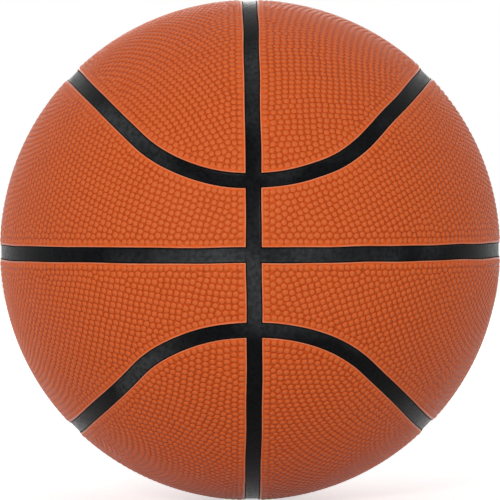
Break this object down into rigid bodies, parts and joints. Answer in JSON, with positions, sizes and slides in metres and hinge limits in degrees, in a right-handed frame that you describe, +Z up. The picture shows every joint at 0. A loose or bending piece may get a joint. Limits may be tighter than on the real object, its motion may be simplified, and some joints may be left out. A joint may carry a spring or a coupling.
{
  "type": "basketball",
  "caption": "Inflated rubber basketball with pebbled orange panels, sunken black channels, wound bladder and needle valve.",
  "frame": {"origin": "centre of the ball", "axes": "+Z up through the centre of the upper loop, the crossing seen from the front at -Y, +X to the right"},
  "size_m": [0.2424, 0.2424, 0.2424],
  "materials": {
    "cover_rubber": "satin",
    "channel_rubber": "satin",
    "bladder_rubber": "satin",
    "thread": "matte",
    "carcass_rubber": "matte",
    "valve_rubber": "satin",
    "core_rubber": "satin"
  },
  "bodies": {
    "root": {"bladder": "bladder_rubber", "valve_patch": "valve_rubber", "valve_housing": "valve_rubber", "valve_core": "core_rubber", "winding": "thread", "carcass": "carcass_rubber", "panel_top_right": "cover_rubber", "panel_top_left": "cover_rubber", "panel_bottom_right": "cover_rubber", "panel_bottom_left": "cover_rubber", "panel_side_upper_right": "cover_rubber", "panel_side_upper_left": "cover_rubber", "panel_side_lower_right": "cover_rubber", "panel_side_lower_left": "cover_rubber", "strip_meridian": "channel_rubber", "strip_equator_right": "channel_rubber", "strip_equator_left": "channel_rubber", "strip_upper_loop_right": "channel_rubber", "strip_upper_loop_left": "channel_rubber", "strip_lower_loop_right": "channel_rubber", "strip_lower_loop_left": "channel_rubber"}
  },
  "joints": []
}
